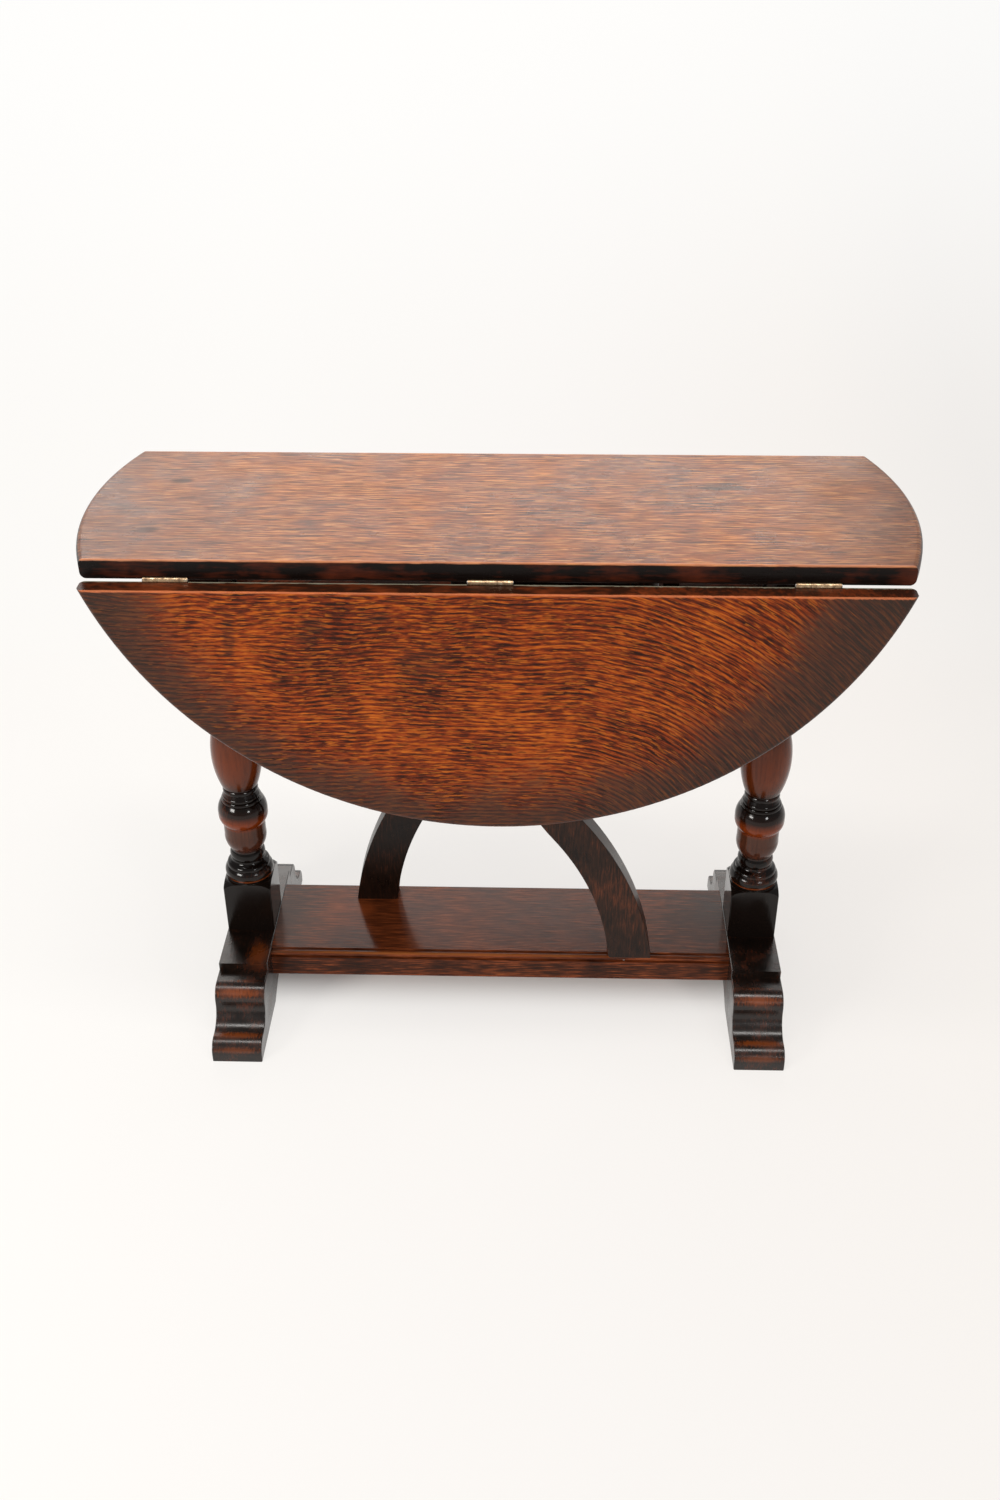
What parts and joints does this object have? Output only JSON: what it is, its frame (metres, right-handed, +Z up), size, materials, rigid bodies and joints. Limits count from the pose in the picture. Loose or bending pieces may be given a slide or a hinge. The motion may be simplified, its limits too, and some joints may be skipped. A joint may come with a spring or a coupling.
{
  "type": "drop-leaf table",
  "caption": "Oval drop-leaf coffee table with turned posts on sledge feet, a shelf board between them and a swinging butterfly support under each leaf.",
  "frame": {"origin": "on the floor under the middle of the table", "axes": "+X along the top, +Y across the leaves towards the back, +Z up"},
  "size_m": [0.712, 0.287, 0.5245],
  "materials": {
    "panel_oak": "dark stained oak, waxed, worn",
    "leaf_oak": "stained oak with strong figure, polished",
    "post_oak": "near-black stained turned oak, polished",
    "foot_oak": "near-black stained oak, polished, worn at the toes",
    "shelf_oak": "near-black stained oak, polished",
    "support_oak": "near-black stained oak, satin",
    "frame_oak": "dark stained oak, unpolished",
    "dowel_oak": "turned oak dowel",
    "hinge_brass": "aged brass",
    "screw_steel": "dull countersunk screws",
    "nail_steel": "bright nail head",
    "pivot_steel": "plain steel pin"
  },
  "bodies": {
    "table": {"top_panel": "panel_oak", "left_foot": "foot_oak", "right_foot": "foot_oak", "left_post": "post_oak", "right_post": "post_oak", "left_bearer": "frame_oak", "right_bearer": "frame_oak", "shelf": "shelf_oak", "front_rail": "frame_oak", "back_rail": "frame_oak", "panel_hinge_screws": "screw_steel", "bearer_screws": "screw_steel", "front_rail_screws": "screw_steel", "back_rail_screws": "screw_steel", "shelf_nails": "nail_steel", "front_left_hinge_plate": "hinge_brass", "front_middle_hinge_plate": "hinge_brass", "front_right_hinge_plate": "hinge_brass", "front_left_hinge_pin": "hinge_brass", "front_middle_hinge_pin": "hinge_brass", "front_right_hinge_pin": "hinge_brass", "front_lower_pivot_pin": "pivot_steel", "front_upper_pivot_pin": "dowel_oak", "back_left_hinge_plate": "hinge_brass", "back_middle_hinge_plate": "hinge_brass", "back_right_hinge_plate": "hinge_brass", "back_left_hinge_pin": "hinge_brass", "back_middle_hinge_pin": "hinge_brass", "back_right_hinge_pin": "hinge_brass", "back_lower_pivot_pin": "pivot_steel", "back_upper_pivot_pin": "dowel_oak"},
    "front_leaf": {"front_leaf": "leaf_oak", "front_ramp_block": "frame_oak", "front_leaf_hinge_screws": "screw_steel", "front_ramp_screws": "screw_steel", "front_left_hinge_flap": "hinge_brass", "front_middle_hinge_flap": "hinge_brass", "front_right_hinge_flap": "hinge_brass"},
    "front_support": {"front_brace": "support_oak", "front_brace_head": "support_oak"},
    "back_leaf": {"back_leaf": "leaf_oak", "back_ramp_block": "frame_oak", "back_leaf_hinge_screws": "screw_steel", "back_ramp_screws": "screw_steel", "back_left_hinge_flap": "hinge_brass", "back_middle_hinge_flap": "hinge_brass", "back_right_hinge_flap": "hinge_brass"},
    "back_support": {"back_brace": "support_oak", "back_brace_head": "support_oak"}
  },
  "joints": [
    {"name": "front_leaf_fold", "type": "hinge", "parent": "table", "child": "front_leaf", "pos_m": [0, -0.115, 0.5062], "axis": [-1, 0, 0], "range_deg": [0, 90]},
    {"name": "back_leaf_fold", "type": "hinge", "parent": "table", "child": "back_leaf", "pos_m": [0, 0.115, 0.5062], "axis": [1, 0, 0], "range_deg": [0, 90]},
    {"name": "front_support_swing", "type": "hinge", "parent": "table", "child": "front_support", "pos_m": [0.128, -0.0475, 0.066], "axis": [0, 0, 1], "range_deg": [0, 90]},
    {"name": "back_support_swing", "type": "hinge", "parent": "table", "child": "back_support", "pos_m": [-0.128, 0.04, 0.066], "axis": [0, 0, 1], "range_deg": [0, 90]}
  ],
  "couplings": [
    {"joint": "front_support_swing", "follows": "front_leaf_fold", "ratio": 1},
    {"joint": "back_support_swing", "follows": "back_leaf_fold", "ratio": 1}
  ]
}
